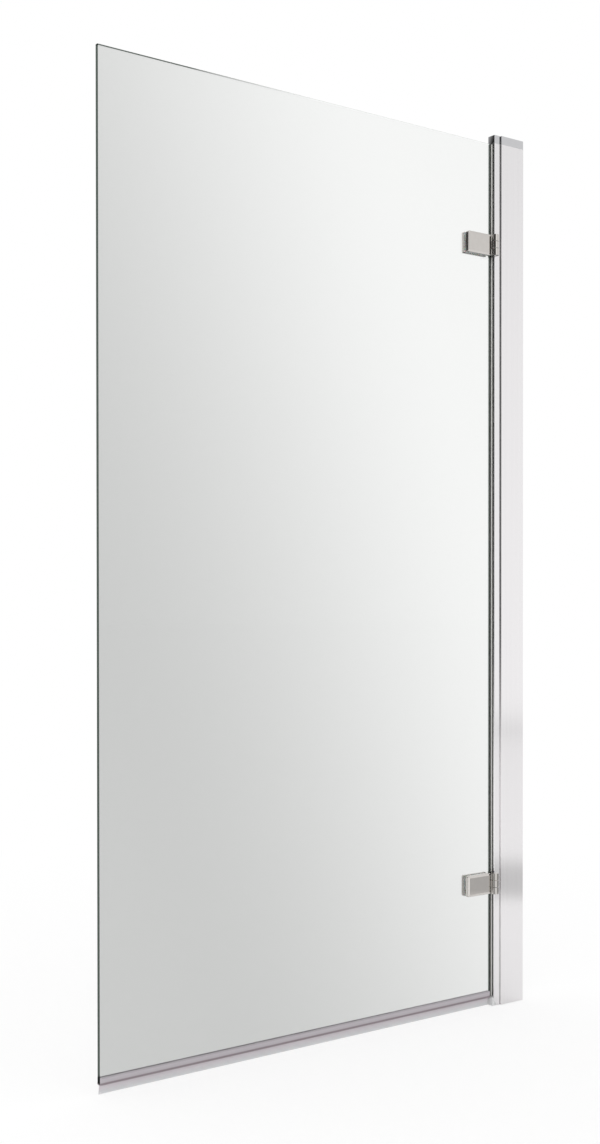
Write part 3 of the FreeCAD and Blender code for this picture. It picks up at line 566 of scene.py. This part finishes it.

# ---- Glass
# One sheet of 6 mm toughened float glass with ground and polished edges, and a hole for each
# clamp screw. A soft slanting painted shade in its colour stands for the studio wall behind it.

# Painted shade: the sheet's colour runs from this grey to pale along a slant.
GLASS_PAINTED_DARK = "#C8C9C8"
GLASS_PAINTED_PALE = "#F5F6F5"
GLASS_IOR = 1.5
SHADE_SLANT = (0.93, 0, 0.37)  # the way along which the shade turns from dark to pale
SHADE_SPAN_MM = (-548, 268)  # where along it the shade begins to turn, and where it is done
# Painted on the edge: a green-black shade for the look into the sheet, and pale light along the
# top.
EDGE_PAINTED_DARK = "#1F2722"
EDGE_PAINTED_LIGHT = "#FAFCFA"
EDGE_LIGHT_FADE_MM = (-640, -430)  # along the top, where the painted light fades in over the dark
EDGE_GRIT_MM = 1.0  # real grinding marks are some 0.1 mm apart, too fine to show
EDGE_ROUGHNESS = (0.22, 0.34)
EDGE_IOR = 1.01  # low, because the ground face lets light out that a polished one turns back
SHEET_NORMAL = 0.95  # a face is the sheet's, not its edge's, where its normal is this far along Y
LEVEL_NORMAL = 0.5  # an edge is the top or bottom one where its normal is this far along Z


def float_glass():
    """Toughened float glass: clear, with a soft slanting grey shade painted into its colour."""
    settings = {"IOR": GLASS_IOR, "Transmission Weight": 1.0, "Roughness": 0.0}
    material, tree, shader = principled("toughened_glass", settings)
    place = add_node(tree, "TexCoord", {})
    slant = {"operation": "DOT_PRODUCT", 1: [share / MM for share in SHADE_SLANT]}
    along = add_node(tree, "VectorMath", slant, {0: place.outputs["Object"]})
    span = {"From Min": SHADE_SPAN_MM[0], "From Max": SHADE_SPAN_MM[1]}
    span["interpolation_type"] = "SMOOTHSTEP"
    shade = add_node(tree, "MapRange", span, {"Value": along.outputs["Value"]})
    tones = {"Color1": linear(GLASS_PAINTED_DARK), "Color2": linear(GLASS_PAINTED_PALE)}
    sheet = add_node(tree, "MixRGB", tones, {"Fac": shade.outputs["Result"]})
    tree.links.new(sheet.outputs["Color"], shader.inputs["Base Color"])
    return material


def ground_edge():
    """Ground and polished glass edge: satin, painted green-black for the dark look into the
    sheet's length over its own green tint, and painted light along the top, towards the post."""
    settings = {"IOR": EDGE_IOR, "Transmission Weight": 1.0}
    material, tree, shader = principled("ground_glass_edge", settings)
    # Seen from inside the glass the normal turns round, so the top's may point down.
    level = add_node(tree, "Math", {"operation": "ABSOLUTE"}, {0: coordinate(tree, "Z", "Normal")})
    upright = {"operation": "GREATER_THAN", 1: LEVEL_NORMAL}
    top = add_node(tree, "Math", upright, {0: level.outputs["Value"]})
    span = {"From Min": EDGE_LIGHT_FADE_MM[0] * MM, "From Max": EDGE_LIGHT_FADE_MM[1] * MM}
    fade = add_node(tree, "MapRange", span, {"Value": coordinate(tree, "X")})
    both = {0: top.outputs["Value"], 1: fade.outputs["Result"]}
    pale = add_node(tree, "Math", {"operation": "MULTIPLY"}, both)
    tones = {"Color1": linear(EDGE_PAINTED_DARK), "Color2": linear(EDGE_PAINTED_LIGHT)}
    tone = add_node(tree, "MixRGB", tones, {"Fac": pale.outputs["Value"]})
    tree.links.new(tone.outputs["Color"], shader.inputs["Base Color"])
    worn(tree, shader, grain(tree, (EDGE_GRIT_MM, EDGE_GRIT_MM, EDGE_GRIT_MM)), EDGE_ROUGHNESS)
    return material


def glass_sheet():
    """The sheet as the CAD has it, with one finish on its faces and another on its edges."""
    source = frame["nodes"]["glass_panel"]
    shape = cleaned(source)
    shape.normal_update()
    for face in shape.faces:
        face.material_index = 0 if abs(face.normal.y) > SHEET_NORMAL else 1
    piece = as_piece("glass_sheet", shape, float_glass(), source["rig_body"])
    piece.data.materials.append(ground_edge())
    piece.data.set_sharp_from_angle(angle=SHARP)
    piece.visible_shadow = False  # light goes through clear glass
    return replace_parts(piece, "glass_panel")


glass_sheet()

# ---- Bottom seal
# Extruded soft PVC, smoky clear: two legs grip the bottom of the glass, and a thin fin hangs from
# the base between them and curls towards the bath to throw the drips back in. It is pushed on.

# From the tip of the fin up: height in millimetres, and the tone there.
# The dark band from 14.4 to 16.2 mm is painted shade where the glass ends in the seal.
SMOKY_TONES_AND_SHADE = (
    (0.7, "#C9C9CB"), (5, "#C6C6C8"), (9, "#CBC6CA"), (13.0, "#CDC7CC"),
    (14.4, "#93888D"), (16.2, "#8D8287"), (17.4, "#BCB6BB"), (22.0, "#C0BBC0"),
    (23.4, "#ACA6AC"), (24.6, "#B0AAAF"),
)
SMOKY_BODY = {
    "Transmission Weight": 0.1, "Subsurface Weight": 0.8,
    "Subsurface Scale": 3 * MM,  # light wanders through the clear legs to the glass
    "Subsurface Radius": (1, 1, 1),
}
SEAL_LINE_MM = (400, 1.5, 1.5)  # drag lines along the seal, some 1.5 mm apart
SEAL_LEG_MM = 9.2
SEAL_WALL_MM = 1.3
SEAL_GAP_MM = 0.05  # the legs are drawn back a hair from the glass
SEAL_BASE_MM = 2.0
SEAL_CORNER_MM = 1.0
SEAL_LIP_MM = 2.2  # the height over which a leg thins out to its lip
SEAL_LIP_LEAN_MM = 0.7  # and by how much
CORNER_STEPS = 6
FIN_ROOT_MM = 1.2
FIN_TIP_MM = 0.6
FIN_FLARE_MM = 2.24  # how far the tip comes out towards the bath
FIN_INSET_MM = 3.2  # from the front of the seal back to the fin
FIN_STEPS = 16


def fill_ramp(ramp, stops):
    """Gives a colour ramp its stops, as (position, colour)."""
    elements = ramp.color_ramp.elements
    while len(elements) < len(stops):
        elements.new(1.0)
    for element, (position, colour) in zip(elements, stops):
        element.position = position
        element.color = colour


def smoky_pvc():
    """Smoky clear PVC: waxy, violet grey, with painted shade where the glass ends in it."""
    material, tree, shader, lines = soft_pvc("smoky_pvc", SMOKY_BODY, SEAL_LINE_MM)
    low, high = SMOKY_TONES_AND_SHADE[0][0], SMOKY_TONES_AND_SHADE[-1][0]
    span = {"From Min": low * MM, "From Max": high * MM}
    height = add_node(tree, "MapRange", span, {"Value": coordinate(tree, "Z")})
    ramp = add_node(tree, "ValToRGB", {}, {"Fac": height.outputs["Result"]})
    fill_ramp(ramp, [((level - low) / (high - low), linear(tone)) for level, tone in SMOKY_TONES_AND_SHADE])
    tree.links.new(ramp.outputs["Color"], shader.inputs["Base Color"])
    return material


def fin(outer, tip_level):
    """Both sides of the drip fin, which curls towards the bath: most in its middle."""
    front, back = [], []
    for step in range(FIN_STEPS + 1):
        down = step / FIN_STEPS
        thickness = FIN_ROOT_MM + (FIN_TIP_MM - FIN_ROOT_MM) * down
        level = -SEAL_BASE_MM + (tip_level + SEAL_BASE_MM) * down
        curl = FIN_FLARE_MM * down ** 2 * (3 - 2 * down)
        front.append((-outer + FIN_INSET_MM + curl, level))
        back.append((-outer + FIN_INSET_MM + curl + thickness, level))
    return front, back


def bottom_seal(material):
    """The whole seal: one section, pushed along under the glass from edge to edge."""
    low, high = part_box("bottom_seal")
    glass_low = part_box("glass_panel")[0].z / MM
    outer = high.y / MM
    inner = outer - SEAL_WALL_MM + SEAL_GAP_MM
    lip = SEAL_LEG_MM - SEAL_LIP_MM
    corner = (outer - SEAL_CORNER_MM, SEAL_CORNER_MM - SEAL_BASE_MM)
    front, back = fin(outer, low.z / MM - glass_low)
    outline = [
        (-outer, lip), (-outer + SEAL_LIP_LEAN_MM, SEAL_LEG_MM), (-inner, SEAL_LEG_MM),
        (-inner, 0), (inner, 0),
        (inner, SEAL_LEG_MM), (outer - SEAL_LIP_LEAN_MM, SEAL_LEG_MM), (outer, lip),
    ]
    outline += arc(corner, SEAL_CORNER_MM, 0, -90, CORNER_STEPS)
    outline += back + front[::-1]
    outline += arc((-corner[0], corner[1]), SEAL_CORNER_MM, -90, -180, CORNER_STEPS)
    outline = [(y, z + glass_low) for y, z in outline]
    shape = extruded(outline, low.x / MM, high.x / MM, "x")
    piece = as_piece("drip_seal", shape, material, "glass_leaf")
    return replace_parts(piece, "bottom_seal")


bottom_seal(smoky_pvc())

# ---- Studio
# A pale floor under the post, white all round and one large soft lamp. Cards that only shiny
# surfaces see stand where a studio's own dark and bright parts are mirrored in polished metal.

FLOOR = "#FEFEFE"
FLOOR_ROUGHNESS = 0.9
FLOOR_SIZE = 60  # in metres, as are all the studio's sizes
FLOOR_DROP = 0.0006  # a hair, so that the floor shares no plane with the foot of the screen
FLOOR_FAR = (0.4, 1.8)  # from the middle of the screen, where the floor turns to plain white
FLOOR_NEAR_WHITE = 0.75  # how far it has turned to white by the screen itself
WORLD_FILL = 0.92
LAMP_PLACE = (-2.4, -2.4, 3.0)
LAMP_SIZE = 2.0
LAMP_WATTS = 28
CARD_GAIN = 2.0  # a ramp holds colours up to 1, and some cards are brighter
CARD_RADIUS = 3.2
CARD_STEPS = 96
CARD_TOP = 4.2
# Heights at which the round card is clear, and to which it thickens from there.
ROUND_ENDS = ((3.8, 2.6), (0.0, 0.5))
# Direction in degrees from +X, and how bright the round card is there.
ROUND_SHADES = (
    (95, 1.0), (118, 0.95), (130.4, 0.9), (131.4, 0.7), (132.15, 0.42), (132.37, 0.26),
    (132.42, 0.03), (214, 0.03), (220, 0.25), (232, 0.25), (238, 0.03), (246, 0.03),
    (257, 1.0), (259, 1.7), (267, 1.7), (269, 0.9), (284, 0.9),
)
# The card on the right spans the rest of the circle. Height, and how bright it is there.
RIGHT_TURNS = (284, 455)
RIGHT_SHADES = ((0.13, 0.74), (0.16, 0.82), (0.24, 1.02), (0.83, 1.01), (1.68, 0.97), (2.38, 0.9))
# A ring on the floor: direction and brightness, and then how far out it fades in and out again.
RING_SHADES = (
    (0, 0.3), (20, 0.6), (46, 0.9), (120, 0.7), (150, 0.5), (180, 0.36), (212, 0.36),
    (235, 0.65), (255, 1.1), (275, 1.2), (288, 0.5), (298, 0.24), (304, 0.25), (308, 0.6),
    (320, 0.65), (326, 0.25), (360, 0.3),
)
RING_EDGES = (0.78, 0.92, 1.18, 1.4)
RING_PLACE = (-0.05, 0.0, 0.001)  # its middle, a hair above the floor


def stage_only(item, through_glass=False):
    """Marks a card that only shiny surfaces see."""
    bpy.context.scene.collection.objects.link(item)
    item.visible_camera = False
    item.visible_diffuse = False
    item.visible_transmission = through_glass
    item.visible_shadow = False


def turns(first, last):
    """Directions round the middle, as (across, deep), from the first angle to the last."""
    step = math.radians(last - first) / CARD_STEPS
    angles = [math.radians(first) + step * count for count in range(CARD_STEPS + 1)]
    return [(math.cos(turn), math.sin(turn)) for turn in angles]


def band(name, directions, low, high):
    """A band along a row of directions, between two places, each as (radius, height)."""
    shape = bmesh.new()
    rails = [
        [shape.verts.new((radius * across, radius * deep, up)) for radius, up in (low, high)]
        for across, deep in directions
    ]
    for this, following in zip(rails, rails[1:]):
        shape.faces.new([this[0], following[0], following[1], this[1]])
    mesh = bpy.data.meshes.new(name)
    shape.to_mesh(mesh)
    shape.free()
    return bpy.data.objects.new(name, mesh)


def glow(name):
    """An emitter with no colour yet, and the mix that clears it away. The glass doesn't mirror
    it: only the metals do."""
    material = bpy.data.materials.new(name)
    material.use_nodes = True
    tree = material.node_tree
    tree.nodes.clear()
    light = add_node(tree, "Emission", {"Strength": CARD_GAIN})
    ray = add_node(tree, "LightPath", {})
    both = {0: ray.outputs["Is Singular Ray"], 1: ray.outputs["Is Reflection Ray"]}
    off_glass = add_node(tree, "Math", {"operation": "MULTIPLY"}, both).outputs["Value"]
    clear = add_node(tree, "BsdfTransparent", {})
    parts = {0: off_glass, 1: light.outputs["Emission"], 2: clear.outputs["BSDF"]}
    mixed = add_node(tree, "MixShader", {}, parts)
    add_node(tree, "OutputMaterial", {}, {"Surface": mixed.outputs["Shader"]})
    return material, tree, light, mixed


def cleared_by(tree, mixed, reason):
    """Clears a card away wherever a measure reaches 1, besides where it is clear already."""
    both = {0: mixed.inputs[0].links[0].from_socket, 1: reason}
    most = add_node(tree, "Math", {"operation": "MAXIMUM"}, both)
    tree.links.new(most.outputs["Value"], mixed.inputs[0])


def grey(shade):
    """A card's brightness as a colour, before the emitter raises it."""
    return [shade / CARD_GAIN] * 3 + [1]


def shades_along(tree, measure, shades):
    """A ramp of greys over a measure."""
    low, high = shades[0][0], shades[-1][0]
    share = add_node(tree, "MapRange", {"From Min": low, "From Max": high}, {"Value": measure})
    ramp = add_node(tree, "ValToRGB", {}, {"Fac": share.outputs["Result"]})
    fill_ramp(ramp, [((at - low) / (high - low), grey(shade)) for at, shade in shades])
    return ramp.outputs["Color"]


def direction(tree):
    """The direction from the middle to a point of a card, in degrees from 0 to 360."""
    sides = {0: coordinate(tree, "Y"), 1: coordinate(tree, "X")}
    turn = add_node(tree, "Math", {"operation": "ARCTAN2"}, sides).outputs["Value"]
    turn = add_node(tree, "Math", {"operation": "DEGREES"}, {0: turn}).outputs["Value"]
    whole = add_node(tree, "Math", {"operation": "WRAP", 1: 360.0, 2: 0.0}, {0: turn})
    return whole.outputs["Value"]


def distance(tree):
    """The distance from an object's own middle to a point of it."""
    place = add_node(tree, "TexCoord", {}).outputs["Object"]
    return add_node(tree, "VectorMath", {"operation": "LENGTH"}, {0: place}).outputs["Value"]


def round_card():
    """A tall round wall of cards, left of the screen and behind the camera. It is clear to
    what is seen straight through the glass, and thins out towards its top and its foot."""
    directions = turns(ROUND_SHADES[0][0], ROUND_SHADES[-1][0])
    card = band("round_card", directions, (CARD_RADIUS, 0), (CARD_RADIUS, CARD_TOP))
    material, tree, light, mixed = glow("round_card")
    colour = shades_along(tree, direction(tree), ROUND_SHADES)
    tree.links.new(colour, light.inputs["Color"])
    ray = add_node(tree, "LightPath", {})
    once = {"operation": "LESS_THAN", 1: 1.0}
    unmirrored = add_node(tree, "Math", once, {0: ray.outputs["Glossy Depth"]})
    both = {0: unmirrored.outputs["Value"], 1: ray.outputs["Is Transmission Ray"]}
    direct = add_node(tree, "Math", {"operation": "MULTIPLY"}, both).outputs["Value"]
    cleared_by(tree, mixed, direct)
    for clear_at, solid_at in ROUND_ENDS:
        span = {"From Min": solid_at, "From Max": clear_at}
        thin = add_node(tree, "MapRange", span, {"Value": coordinate(tree, "Z")})
        cleared_by(tree, mixed, thin.outputs["Result"])
    card.data.materials.append(material)
    stage_only(card, through_glass=True)


def right_card():
    """The soft white wall that the faces of the post and the hinges mirror."""
    foot, top = (CARD_RADIUS, RIGHT_SHADES[0][0]), (CARD_RADIUS, CARD_TOP)
    card = band("right_card", turns(*RIGHT_TURNS), foot, top)
    material, tree, light, _ = glow("right_card")
    colour = shades_along(tree, coordinate(tree, "Z"), RIGHT_SHADES)
    tree.links.new(colour, light.inputs["Color"])
    card.data.materials.append(material)
    stage_only(card)


def floor_ring():
    """Soft grey patches on the floor about 1 m out, which the lower hinge mirrors."""
    ring = band("floor_ring", turns(0, 360), (RING_EDGES[0], 0), (RING_EDGES[-1], 0))
    material, tree, light, _ = glow("floor_ring")
    patches = shades_along(tree, direction(tree), RING_SHADES)
    weights = list(zip(RING_EDGES, (0, CARD_GAIN, CARD_GAIN, 0)))
    parts = {"Fac": shades_along(tree, distance(tree), weights), "Color2": patches}
    colour = add_node(tree, "MixRGB", {"Color1": grey(1)}, parts)
    tree.links.new(colour.outputs["Color"], light.inputs["Color"])
    ring.data.materials.append(material)
    ring.location = RING_PLACE
    stage_only(ring)


def pale_floor():
    """A matt white floor that turns to plain white, to the camera, away from the screen."""
    shape = bmesh.new()
    bmesh.ops.create_grid(shape, x_segments=1, y_segments=1, size=FLOOR_SIZE / 2)
    mesh = bpy.data.meshes.new("floor")
    shape.to_mesh(mesh)
    shape.free()
    floor = bpy.data.objects.new("floor", mesh)
    middle = (cad_box[0] + cad_box[1]) / 2
    floor.location = (middle.x, middle.y, cad_box[0].z - FLOOR_DROP)
    bpy.context.scene.collection.objects.link(floor)
    settings = {"Roughness": FLOOR_ROUGHNESS, "Specular IOR Level": 0.0}
    settings["Base Color"] = linear(FLOOR)
    material, tree, shader = principled("matt_white_floor", settings)
    span = {"From Min": FLOOR_FAR[0], "From Max": FLOOR_FAR[1], "To Min": FLOOR_NEAR_WHITE}
    span["interpolation_type"] = "SMOOTHSTEP"
    white = add_node(tree, "MapRange", span, {"Value": distance(tree)}).outputs["Result"]
    ray = add_node(tree, "LightPath", {})
    both = {0: white, 1: ray.outputs["Is Camera Ray"]}
    direct = add_node(tree, "Math", {"operation": "MULTIPLY"}, both).outputs["Value"]
    either = {0: direct, 1: ray.outputs["Is Transmission Ray"]}
    share = add_node(tree, "Math", {"operation": "ADD", "use_clamp": True}, either)
    plain = add_node(tree, "Emission", {"Color": (1, 1, 1, 1), "Strength": 1.0})
    parts = {0: share.outputs["Value"], 1: shader.outputs["BSDF"], 2: plain.outputs["Emission"]}
    mixed = add_node(tree, "MixShader", {}, parts)
    tree.links.new(mixed.outputs["Shader"], tree.nodes["Material Output"].inputs["Surface"])
    mesh.materials.append(material)


def white_world():
    """White to the camera, in mirrors and through glass, and a little less as light."""
    world = bpy.data.worlds.new("studio")
    bpy.context.scene.world = world
    world.use_nodes = True
    tree = world.node_tree
    tree.nodes.clear()
    ray = add_node(tree, "LightPath", {})
    either = {0: ray.outputs["Is Camera Ray"], 1: ray.outputs["Is Glossy Ray"]}
    seen = add_node(tree, "Math", {"operation": "ADD"}, either)
    either = {0: seen.outputs["Value"], 1: ray.outputs["Is Transmission Ray"]}
    seen = add_node(tree, "Math", {"operation": "ADD", "use_clamp": True}, either)
    span = {"To Min": WORLD_FILL, "To Max": 1.0}
    strength = add_node(tree, "MapRange", span, {"Value": seen.outputs["Value"]})
    parts = {"Strength": strength.outputs["Result"]}
    light = add_node(tree, "Background", {"Color": (1, 1, 1, 1)}, parts)
    add_node(tree, "OutputWorld", {}, {"Surface": light.outputs["Background"]})


def soft_lamp():
    """A large square soft box that looks at the middle of the screen. No mirror shows it."""
    light = bpy.data.lights.new("key", "AREA")
    light.size = LAMP_SIZE
    light.energy = LAMP_WATTS
    lamp = bpy.data.objects.new("key", light)
    lamp.location = LAMP_PLACE
    lamp.visible_glossy = False
    lamp.visible_transmission = False
    middle = (cad_box[0] + cad_box[1]) / 2
    lamp.rotation_euler = (middle - Vector(LAMP_PLACE)).to_track_quat("-Z", "Y").to_euler()
    bpy.context.scene.collection.objects.link(lamp)


round_card()
right_card()
floor_ring()
pale_floor()
white_world()
soft_lamp()

# ---- Camera
# It stands in the room, left of the screen and level with its middle, as the photograph shows.

CAMERA_PLACE_MM = (-1685.94, -1706.09, 673.74)
CAMERA_TURN = 35.866  # degrees to the right of +Y
CAMERA_TILT = -0.4995  # degrees up
CAMERA_ROLL = 0.041
SENSOR_MM = 36
LONG_SIDE_PIXELS = 1144
FOCAL_PIXELS = 1411.86
DOWN_SHIFT_PIXELS = 38.35

lens = bpy.data.cameras.new("camera")
lens.sensor_width = SENSOR_MM
lens.lens = FOCAL_PIXELS / LONG_SIDE_PIXELS * SENSOR_MM
lens.shift_y = DOWN_SHIFT_PIXELS / LONG_SIDE_PIXELS
camera = bpy.data.objects.new("camera", lens)
camera.rotation_mode = "XYZ"
camera.location = Vector(CAMERA_PLACE_MM) * MM
aim = (90 + CAMERA_TILT, CAMERA_ROLL, -CAMERA_TURN)
camera.rotation_euler = [math.radians(turn) for turn in aim]
bpy.context.scene.collection.objects.link(camera)
bpy.context.scene.camera = camera
bpy.context.scene.view_settings.view_transform = "Standard"
